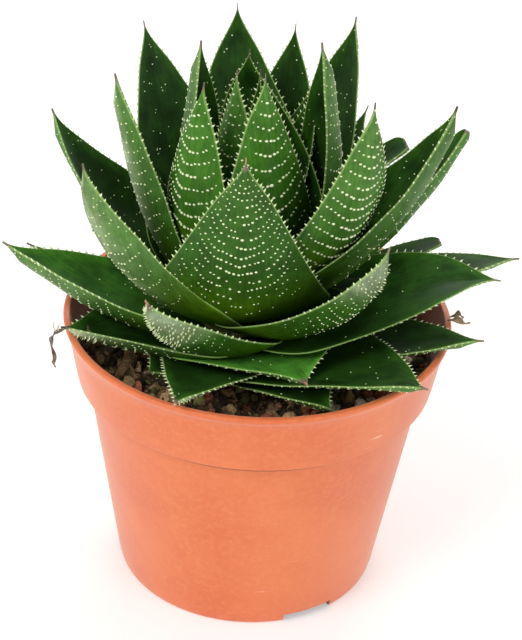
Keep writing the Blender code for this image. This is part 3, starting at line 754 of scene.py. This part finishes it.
def pot_profile():
    """The pot's section from the middle of its foot, up its outside and down its inside."""
    ring_inside = FOOT_RADIUS - FOOT_ROUND - FOOT_RING_WIDTH
    points = [(0, 0), (BOSS_RADIUS, 0), (BOSS_RADIUS + 0.5 * MM, FLOOR_BOTTOM),
              (ring_inside - 0.3 * MM, FLOOR_BOTTOM), (ring_inside, 0.3 * MM), (ring_inside + 0.3 * MM, 0)]
    points += arc((FOOT_RADIUS - FOOT_ROUND, FOOT_ROUND), FOOT_ROUND, -90, -8, 6)
    for share in np.linspace(0.05, 0.97, 12):
        points.append((FOOT_RADIUS + (BODY_TOP_RADIUS - FOOT_RADIUS) * share, STEP * share))
    points += [(BODY_TOP_RADIUS - 0.1 * MM, STEP - 0.3 * MM), (BODY_TOP_RADIUS + 0.3 * MM, STEP)]
    points += arc((BAND_FOOT_RADIUS - BAND_ROUND, STEP + BAND_ROUND), BAND_ROUND, -90, 5, 5)
    lip = (RIM_RADIUS - LIP_EDGE, POT_HEIGHT - LIP_EDGE)
    for share in np.linspace(0.12, 0.86, 6):
        points.append((BAND_FOOT_RADIUS + (RIM_RADIUS - LIP_BEAD - BAND_FOOT_RADIUS) * share,
                       STEP + BAND_HEIGHT * share))
    points += [(RIM_RADIUS - LIP_BEAD - 0.1 * MM, POT_HEIGHT - 2.3 * MM),
               (RIM_RADIUS - 0.5 * LIP_BEAD, POT_HEIGHT - 1.9 * MM)]
    points += arc(lip, LIP_EDGE, -20, 90, 7)
    inside_lip = (RIM_RADIUS - LIP_WIDTH + LIP_EDGE * 0.8, POT_HEIGHT - LIP_EDGE * 0.8)
    points += arc(inside_lip, LIP_EDGE * 0.8, 95, 180, 5)
    for share in np.linspace(0.9, 0.15, 6):
        z = SHELF + (POT_HEIGHT - SHELF) * share
        points.append((inner_radius(z), z))
    points += [(inner_radius(SHELF), SHELF), (inner_radius(SHELF - SHELF_DROP), SHELF - SHELF_DROP)]
    for share in np.linspace(0.9, 0.1, 6):
        points.append((inner_radius(STEP * share), STEP * share))
    points += [(inner_radius(FLOOR_TOP), FLOOR_TOP), (0, FLOOR_TOP)]
    return points


def turned(profile, sides):
    """Vertices and faces of a profile that starts and ends on the pot's axis, turned about it."""
    rings = profile[1:-1]
    angle = np.arange(sides) * tau / sides
    verts = [(0, 0, profile[0][1])]
    for radius, z in rings:
        verts += [(radius * cos(a), radius * sin(a), z) for a in angle]
    verts.append((0, 0, profile[-1][1]))
    faces = [tuple(1 + v for v in face) for face in loft_faces(len(rings), sides)]
    last, top = len(verts) - 1, 1 + (len(rings) - 1) * sides
    faces += [(0, 1 + (k + 1) % sides, 1 + k) for k in range(sides)]
    faces += [(top + k, top + (k + 1) % sides, last) for k in range(sides)]
    return verts, faces


def add_object(name, verts, faces, mat):
    shape = Shape([])
    shape.add(verts, faces, 0)
    obj = shape.build(name, [mat])
    bm = bmesh.new()
    bm.from_mesh(obj.data)
    bmesh.ops.recalc_face_normals(bm, faces=bm.faces)
    bm.to_mesh(obj.data)
    bm.free()
    return obj


def cut_away(body, radius, angle, z, turn=0.0):
    """Cut a body with the primitive just made, put at a radius, an angle and a height."""
    tool = bpy.context.object
    tool.location = (radius * cos(angle), radius * sin(angle), z)
    tool.rotation_euler.z = turn
    bpy.context.view_layer.update()
    cut(body, tool)
    bpy.data.objects.remove(tool)


def make_pot(mat):
    pot = add_object("pot_shell", *turned(pot_profile(), POT_SIDES), mat)
    for k in range(NOTCH_COUNT):
        angle = radians(NOTCH_AZIMUTH + k * 360 / NOTCH_COUNT)
        bpy.ops.mesh.primitive_cube_add(size=1, scale=(FOOT_RADIUS / 2, NOTCH_WIDTH, 2 * NOTCH_HEIGHT))
        cut_away(pot, FOOT_RADIUS, angle, 0, angle)
    for k in range(DRAIN_COUNT):
        angle = tau * (k + DRAIN_TURN) / DRAIN_COUNT
        bpy.ops.mesh.primitive_cylinder_add(vertices=32, radius=DRAIN_RADIUS, depth=2 * FLOOR_TOP)
        cut_away(pot, DRAIN_CIRCLE, angle, FLOOR_TOP)
    pot.data.set_sharp_from_angle(angle=radians(SHARP_ANGLE))
    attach(pot, "root")
    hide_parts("pot")


def soil_height(x, y):
    """Height of the soil: lumpy, and lower under the rosette."""
    radius = np.hypot(x - STEM_X, y)
    dip = np.maximum(0.0, 1 - (radius / SOIL_DIP_RADIUS) ** 2) * SOIL_DIP
    lumps = np.sin(310 * x + 1.3) * np.sin(270 * y + 0.4) + 0.6 * np.sin(640 * x - 520 * y)
    return SOIL_TOP - dip + SOIL_BUMP * lumps


def grain_height(x, y):
    """Fine unevenness on the soil's own lumps."""
    small = np.sin(1900 * x + 900 * y) * np.sin(2100 * y - 700 * x + 1.0)
    tiny = np.sin(4100 * x - 2300 * y + 2.0) * np.sin(3700 * y + 1900 * x)
    return (0.35 * small + 0.2 * tiny) * MM


def make_soil(mat):
    """The soil plug with a fine, crumbly top."""
    outer = inner_radius(SOIL_TOP) - SOIL_EDGE
    bottom = FLOOR_TOP + SOIL_LIFT
    low_rings = [(inner_radius(bottom) - SOIL_GAP, bottom),
                 (inner_radius(SHELF - SHELF_DROP) - SOIL_GAP, SHELF - SHELF_DROP + SOIL_LIFT),
                 (inner_radius(SHELF) - SOIL_GAP, SHELF + SOIL_LIFT)]
    profile = [(0, bottom)] + low_rings
    profile += [(outer * (1 - k / SOIL_RINGS), SOIL_TOP) for k in range(SOIL_RINGS)]
    profile += [(0, SOIL_TOP)]
    verts, faces = turned(profile, SOIL_SIDES)
    verts = np.array(verts, dtype=float)
    top = np.arange(len(verts)) >= 1 + len(low_rings) * SOIL_SIDES
    x, y = verts[top, 0], verts[top, 1]
    verts[top, 2] = soil_height(x, y) + grain_height(x, y)
    soil = add_object("soil_bed", verts, faces, mat)
    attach(soil, "root")
    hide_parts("soil")


def crumb_template(level):
    bm = bmesh.new()
    bmesh.ops.create_icosphere(bm, subdivisions=level, radius=1.0)
    verts = np.array([v.co for v in bm.verts])
    faces = [tuple(v.index for v in f.verts) for f in bm.faces]
    bm.free()
    return verts, faces


def make_crumbs(mat):
    """Loose crumbs of peat, bark and grit, half sunk in the soil, as one piece."""
    rng = np.random.default_rng(SEED)
    small, large = crumb_template(1), crumb_template(2)
    shape = Shape(("tone",))
    most = inner_radius(SOIL_TOP) - CRUMB_EDGE
    for _ in range(CRUMB_COUNT):
        radius = most * sqrt(rng.uniform(0.08, 1.0))
        angle = rng.uniform(0, tau)
        size = CRUMB_LEAST + (CRUMB_MOST - CRUMB_LEAST) * rng.random() ** 4
        radius = min(radius, most - size)
        x, y = radius * cos(angle), radius * sin(angle)
        verts, faces = large if size > CRUMB_MOST / 2 else small
        lumps = 1 + 0.28 * np.sin(verts @ rng.uniform(-4, 4, 3) + rng.uniform(0, 6))
        lumps += 0.18 * np.sin(verts @ rng.uniform(-8, 8, 3) + rng.uniform(0, 6))
        scale = size * rng.uniform(0.6, 1.25, 3)
        turn = np.array(Matrix.Rotation(rng.uniform(0, 6), 3, Vector(rng.normal(size=3)).normalized()))
        placed = (verts * lumps[:, None] * scale) @ turn.T
        placed += (x, y, float(soil_height(x, y)) + size * rng.uniform(-0.1, 0.45))
        shape.add(placed, faces, 0, tone=rng.random(3))
    crumbs = shape.build("soil_crumbs", [mat])
    crumbs.data.polygons.foreach_set("use_smooth", [False] * len(crumbs.data.polygons))
    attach(crumbs, "root")


def bent_line(points, count):
    """A smooth curve of so many points through a few that are given in millimetres."""
    points = np.array(points) * MM
    padded = np.vstack([2 * points[0] - points[1], points, 2 * points[-1] - points[-2]])
    line = []
    for place in np.linspace(0, len(points) - 1, count):
        k = min(int(place), len(points) - 2)
        t = place - k
        a, b, c, d = padded[k:k + 4]
        line.append(0.5 * (2 * b + (c - a) * t + (2 * a - 5 * b + 4 * c - d) * t ** 2
                           + (3 * b - a - 3 * c + d) * t ** 3))
    return np.array(line)


def add_strip(shape, points, widths, thick, twist, tone):
    """A thin dried strip along a bent line, turning about it, with its half widths in millimetres."""
    line, widths = bent_line(points, len(widths)), widths * MM
    ahead = unit(np.gradient(line, axis=0))
    side = unit(np.cross(ahead, np.array([0.3, 0.5, 0.8])))
    up = np.cross(ahead, side)
    rings = []
    for k, point in enumerate(line):
        turn = twist * k / (len(line) - 1)
        right = side[k] * cos(turn) + up[k] * sin(turn)
        out = up[k] * cos(turn) - side[k] * sin(turn)
        for a in np.arange(STRIP_SIDES) * tau / STRIP_SIDES:
            curl = 0.35 * widths[k] * cos(a) ** 2
            rings.append(point + right * cos(a) * widths[k] + out * (sin(a) * thick + curl))
    shape.add(rings, loft_faces(len(line), STRIP_SIDES, closed=True), 0, tone=tone)


def make_dried_bits(mat):
    """The curled dry tip that hangs over the rim on the left, and a scrap on the rim at the right."""
    shape = Shape(("tone",))
    widths = 0.3 + 0.45 * np.sin(np.linspace(0, 1, 40) * pi) ** 0.7
    add_strip(shape, DRY_CURL, widths, DRY_THICKNESS, 7.0, (0, 0, 0))
    for fork in DRY_FORKS:
        add_strip(shape, fork, np.linspace(0.4, 0.12, 14), 0.6 * DRY_THICKNESS, 1.0, (0.9, 0, 0))
    for scrap, tone in DRY_SCRAPS:
        widths = 0.35 + 0.75 * np.sin(np.linspace(0.1, pi - 0.1, 20))
        add_strip(shape, scrap, widths, DRY_THICKNESS, 4.0, tone)
    bits = shape.build("dried_bits", [mat])
    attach(bits, "root")


class Graph:
    """A node material under construction."""

    def __init__(self, name):
        self.mat = bpy.data.materials.new(name)
        self.mat.use_nodes = True
        self.tree = self.mat.node_tree
        self.shader = self.tree.nodes["Principled BSDF"]

    def node(self, kind, feeds=None, **settings):
        made = self.tree.nodes.new("ShaderNode" + kind)
        for key, value in settings.items():
            setattr(made, key, value)
        for key, value in (feeds or {}).items():
            self.feed(made.inputs[key], value)
        return made

    def feed(self, socket, value):
        if isinstance(value, bpy.types.NodeSocket):
            self.tree.links.new(value, socket)
        else:
            socket.default_value = value

    def maths(self, operation, first, second):
        return self.node("Math", {0: first, 1: second}, operation=operation).outputs[0]

    def times(self, first, second):
        return self.maths("MULTIPLY", first, second)

    def ramp(self, value, low=0.3, high=0.7, to_low=0.0, to_high=1.0, way="SMOOTHSTEP"):
        feeds = {"Value": value, "From Min": low, "From Max": high, "To Min": to_low, "To Max": to_high}
        return self.node("MapRange", feeds, interpolation_type=way).outputs["Result"]

    def mix(self, factor, first, second, blend="MIX"):
        made = self.node("Mix", {0: factor, 6: first, 7: second},
                         data_type="RGBA", blend_type=blend)
        return made.outputs[2]

    def shaded(self, colour, tint):
        """A colour made darker or lighter by a number."""
        level = self.node("CombineXYZ", {0: tint, 1: tint, 2: tint}).outputs[0]
        return self.mix(1.0, colour, level, "MULTIPLY")

    def parts(self, name):
        """One of the mesh's own per-vertex values, and its three numbers."""
        value = self.node("Attribute", attribute_name=name).outputs["Vector"]
        return value, self.node("SeparateXYZ", {0: value}).outputs

    def where(self, scale=(1.0, 1.0, 1.0)):
        """Place on the object in metres, scaled."""
        coords = self.node("TexCoord").outputs["Object"]
        return self.node("Mapping", {"Vector": coords, "Scale": scale}).outputs[0]

    def noise(self, scale, detail, rough, vector=None):
        feeds = {"Vector": vector or self.where(), "Scale": scale, "Detail": detail, "Roughness": rough}
        return self.node("TexNoise", feeds).outputs["Fac"]

    def relief(self, *layers):
        """Bumps laid over one another, each a height, a strength and a depth in millimetres."""
        feeds = {}
        for height, strength, depth in layers:
            feeds.update({"Height": height, "Strength": strength, "Distance": depth * MM})
            feeds["Normal"] = self.node("Bump", feeds).outputs["Normal"]
        return feeds["Normal"]

    def set(self, name, value):
        self.feed(self.shader.inputs[name], value)

    def finish(self, colour, roughness, normal, specular=0.5):
        self.set("Base Color", colour)
        self.set("Roughness", roughness)
        self.set("Normal", normal)
        self.set("Specular IOR Level", specular)
        return self.mat


def skin_material():
    """Aloe skin: dark upper face, lighter pearled lower face, pale rim, dried point, with painted light
    and shade in each leaf's lightness and painted glare in a side band.
    """
    g = Graph("aloe_skin")
    place, (across, along, share) = g.parts("place")
    _, (under, rim, brown) = g.parts("face")
    _, (bright, grey, yellow) = g.parts("tone")
    grain = g.node("VectorMath", {0: place, 1: (1.6, 0.09, 0.0)}, operation="MULTIPLY").outputs[0]
    fibre = g.noise(1.0, 4.0, 0.6, grain)
    cloud = g.noise(75.0, 3.0, 0.5)
    fine = g.noise(900.0, 2.0, 0.6)
    low = g.mix(g.ramp(share, 0.3, 0.75), UNDER_DARK, UNDER_GREEN)
    # The yellow-green foot, lighter as painted light where the feet lie in shade
    low = g.mix(g.times(g.ramp(share, 0.55, 0.2), yellow), low, UNDER_YELLOW_AND_LIGHT)
    # Greyness: waxy bloom, and painted glare in the side band
    bloom_and_glare = g.times(grey, g.ramp(cloud, 0.25, 0.65, 0.6, 1.15))
    low = g.mix(g.ramp(bloom_and_glare, 0.0, 1.0, way="LINEAR"), low, UNDER_GREY)
    low = g.mix(g.ramp(bloom_and_glare, 0.8, 1.5), low, UNDER_WAX_AND_GLARE)
    high = g.mix(g.ramp(cloud), UPPER_DARK, UPPER_LIGHT)
    high = g.mix(g.times(g.ramp(rim, 3.5, 0.4), 0.35), high, UPPER_EDGE)
    skin = g.mix(g.ramp(under), high, low)
    # Per-leaf lightness: the leaf's own tone with painted light and shade, over the fibres
    tint = g.times(g.ramp(fibre, 0.25, 0.75, 0.8, 1.22), bright)
    tint = g.times(tint, g.ramp(fine, 0.3, 0.7, 0.94, 1.06))
    tint = g.times(tint, g.ramp(g.noise(170.0, 4.0, 0.6), 0.3, 0.7, 0.78, 1.16))
    skin = g.mix(g.ramp(rim, 0.26, 0.05, 0.0, 0.65), g.shaded(skin, tint), RIM_PALE)
    dry = g.mix(g.ramp(fibre), DRY_DARK, DRY_LIGHT)
    dry = g.mix(g.ramp(brown, 1.0, 1.5), dry, SPINE_PINK)
    skin = g.mix(g.ramp(brown, 0.25, 0.8), skin, dry)
    roughness = g.ramp(cloud, 0.3, 0.7, 0.42, 0.56)
    return g.finish(skin, roughness, g.relief((fibre, 0.22, 0.35), (fine, 0.1, 0.12)), 0.14)


def pearl_material():
    """The pale pearls and teeth."""
    g = Graph("pearl_skin")
    _, (kind, tint, _) = g.parts("tone")
    fine = g.noise(1500.0, 2.0, 0.6)
    colour = g.mix(kind, PEARL_GREEN, PEARL_PALE)
    colour = g.mix(g.times(tint, 0.35), colour, PEARL_WARM)
    colour = g.mix(g.ramp(fine, 0.35, 0.7, 0.0, 0.25), colour, PEARL_GREEN)
    return g.finish(colour, g.ramp(fine, 0.3, 0.7, 0.42, 0.6), g.relief((fine, 0.2, 0.1)))


def pot_material():
    """Orange nursery plastic: faintly mottled, scuffed, with a few pale scratches, a painted shadow under
    the band and painted shade on the inner wall.
    """
    g = Graph("terracotta_plastic")
    broad = g.noise(28.0, 4.0, 0.6)
    mottle = g.noise(520.0, 4.0, 0.65)
    speck = g.noise(1400.0, 2.0, 0.6)
    colour = g.mix(g.ramp(broad), POT_DEEP, POT_ORANGE)
    colour = g.mix(g.ramp(mottle, 0.4, 0.75, 0.0, 0.5), colour, POT_LIGHT)
    colour = g.mix(g.ramp(speck, 0.62, 0.78, 0.0, 0.35), colour, POT_DEEP)
    lines = g.noise(1.0, 2.0, 0.5, g.where((90.0, 90.0, 900.0)))
    spots = g.noise(60.0, 1.0, 0.5)
    scratch = g.times(g.ramp(lines, 0.66, 0.72), g.ramp(spots, 0.6, 0.7))
    colour = g.mix(g.times(scratch, 0.7), colour, POT_SCUFF)
    height = g.node("SeparateXYZ", {0: g.where()}).outputs[2]
    flat = g.where((1.0, 1.0, 0.0))
    radius = g.node("VectorMath", {0: flat}, operation="LENGTH").outputs["Value"]
    body = g.ramp(height, 0.0, STEP, FOOT_RADIUS - HALF_WALL, BODY_TOP_RADIUS - HALF_WALL, "LINEAR")
    band = g.ramp(height, STEP, POT_HEIGHT, BAND_FOOT_RADIUS - HALF_WALL,
                  RIM_RADIUS - LIP_WIDTH + 0.3 * MM, "LINEAR")
    above = g.maths("GREATER_THAN", height, STEP - 0.1 * MM)
    # Painted shadow under the band's ledge
    line = g.times(g.ramp(height, STEP - SHADOW_FOOT, STEP - SHADOW_TOP, 0.0, 0.8),
                   g.maths("SUBTRACT", 1.0, above))
    wall = g.maths("ADD", body, g.times(above, g.maths("SUBTRACT", band, body)))
    inside = g.maths("LESS_THAN", radius, wall)
    soiled = g.ramp(g.maths("ADD", height, g.times(mottle, 0.006)),
                    SOIL_TOP + 7.5 * MM, SOIL_TOP + 1.0 * MM, 0.0, 0.85)
    colour = g.mix(line, colour, POT_LEDGE_SHADOW)
    # Painted shade on the inner wall
    colour = g.mix(g.times(inside, 0.55), colour, POT_INSIDE_SHADE)
    colour = g.mix(g.times(inside, soiled), colour, SOIL_DARK)
    g.set("Sheen Weight", POT_SHEEN)
    g.set("Sheen Roughness", 0.45)
    relief = g.relief((mottle, 0.1, 0.25), (speck, 0.1, 0.08))
    return g.finish(colour, g.ramp(mottle, 0.3, 0.7, 0.4, 0.54), relief)


def soil_material():
    g = Graph("potting_soil")
    coarse = g.noise(260.0, 5.0, 0.65)
    grain = g.noise(1100.0, 4.0, 0.7)
    colour = g.mix(g.ramp(coarse, 0.35, 0.65), SOIL_DARK, SOIL_BROWN)
    colour = g.mix(g.ramp(grain, 0.56, 0.72, 0.0, 0.8), colour, SOIL_TAN)
    return g.finish(colour, 0.93, g.relief((coarse, 0.9, 1.2), (grain, 0.9, 0.5)), 0.25)


def crumb_material():
    """Crumbs of several kinds, told apart by a number that each one carries."""
    g = Graph("soil_crumb")
    _, (kind, shade, _) = g.parts("tone")
    grain = g.noise(1300.0, 4.0, 0.7)
    colour = SOIL_DARK
    for low, high, other in ((0.26, 0.32, SOIL_BROWN), (0.55, 0.58, SOIL_MOSSY), (0.66, 0.69, BARK_RED),
                             (0.8, 0.83, SOIL_TAN), (0.965, 0.975, GRIT_PALE)):
        colour = g.mix(g.ramp(kind, low, high), colour, other)
    tint = g.times(g.ramp(shade, 0.0, 1.0, 0.9, 2.6), g.ramp(grain, 0.3, 0.7, 0.55, 1.4))
    return g.finish(g.shaded(colour, tint), 0.9, g.relief((grain, 0.8, 0.4)), 0.3)


def stem_material():
    g = Graph("stem_tissue")
    ridges = g.noise(240.0, 4.0, 0.6, g.where((1.0, 1.0, 4.0)))
    colour = g.mix(g.ramp(ridges, 0.35, 0.65), STEM_DARK, STEM_PALE)
    return g.finish(colour, 0.7, g.relief((ridges, 0.6, 0.6)))


def dried_material():
    g = Graph("dried_fibre")
    _, (pale, tint, _) = g.parts("tone")
    fibre = g.noise(1500.0, 4.0, 0.65, g.where((1.0, 1.0, 0.25)))
    colour = g.mix(g.ramp(fibre), DRY_DARK, DRY_LIGHT)
    colour = g.mix(tint, colour, DRY_TAN)
    colour = g.mix(pale, colour, DRY_WHITE)
    return g.finish(colour, 0.85, g.relief((fibre, 0.7, 0.3)), 0.3)


def floor_material():
    g = Graph("studio_floor")
    faint = g.noise(9.0, 2.0, 0.5)
    colour = g.mix(g.ramp(faint), FLOOR_PALE, FLOOR_WHITE)
    g.set("Emission Color", WHITE)
    g.set("Emission Strength", FLOOR_GLOW)
    return g.finish(colour, 0.9, g.relief((faint, 0.02, 0.5)), 0.1)


def make_camera():
    el, roll = radians(CAMERA_ELEVATION), radians(CAMERA_ROLL)
    back = Vector((0, -cos(el), sin(el)))
    across = Vector((1, 0, 0))
    up = across.cross(-back)
    right = across * cos(roll) + up * sin(roll)
    upright = up * cos(roll) - across * sin(roll)
    data = bpy.data.cameras.new("camera")
    data.sensor_width = SENSOR
    data.lens = FOCAL_PIXELS * SENSOR / IMAGE_LONG_SIDE
    data.clip_start, data.clip_end = 0.01, 20
    camera = linked("camera", data)
    place = Vector((0, 0, AIM_HEIGHT)) + back * CAMERA_DISTANCE + right * CAMERA_SHIFT
    turn = Matrix((right, upright, right.cross(upright))).transposed()
    camera.matrix_world = Matrix.Translation(place) @ turn.to_4x4()
    bpy.context.scene.camera = camera


def make_studio():
    """A plain pale floor, an even pale surround and three large soft lights."""
    verts = [(x * FLOOR_HALF, y * FLOOR_HALF, 0) for x, y in ((-1, -1), (1, -1), (1, 1), (-1, 1))]
    floor = add_object("studio_floor", verts, [(0, 1, 2, 3)], floor_material())
    world = bpy.data.worlds.new("studio")
    bpy.context.scene.world = world
    world.use_nodes = True
    inputs = world.node_tree.nodes["Background"].inputs
    inputs["Color"].default_value = WHITE
    inputs["Strength"].default_value = WORLD_STRENGTH
    for name, place, size, energy, colour in LAMPS:
        data = bpy.data.lights.new(name, "AREA")
        data.shape = "RECTANGLE"
        data.size, data.size_y = size
        data.energy = energy
        data.color = colour
        lamp = linked(name, data)
        lamp.location = place
        lamp.rotation_euler = (LAMP_TARGET - Vector(place)).to_track_quat("-Z", "Y").to_euler()
    bpy.context.scene.view_settings.view_transform = "Standard"


def main():
    make_camera()
    make_studio()
    make_pot(pot_material())
    make_soil(soil_material())
    make_crumbs(crumb_material())
    make_leaves([skin_material(), pearl_material()])
    make_dried_bits(dried_material())
    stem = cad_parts["stem"]
    stem.data.materials.clear()
    stem.data.materials.append(stem_material())


main()
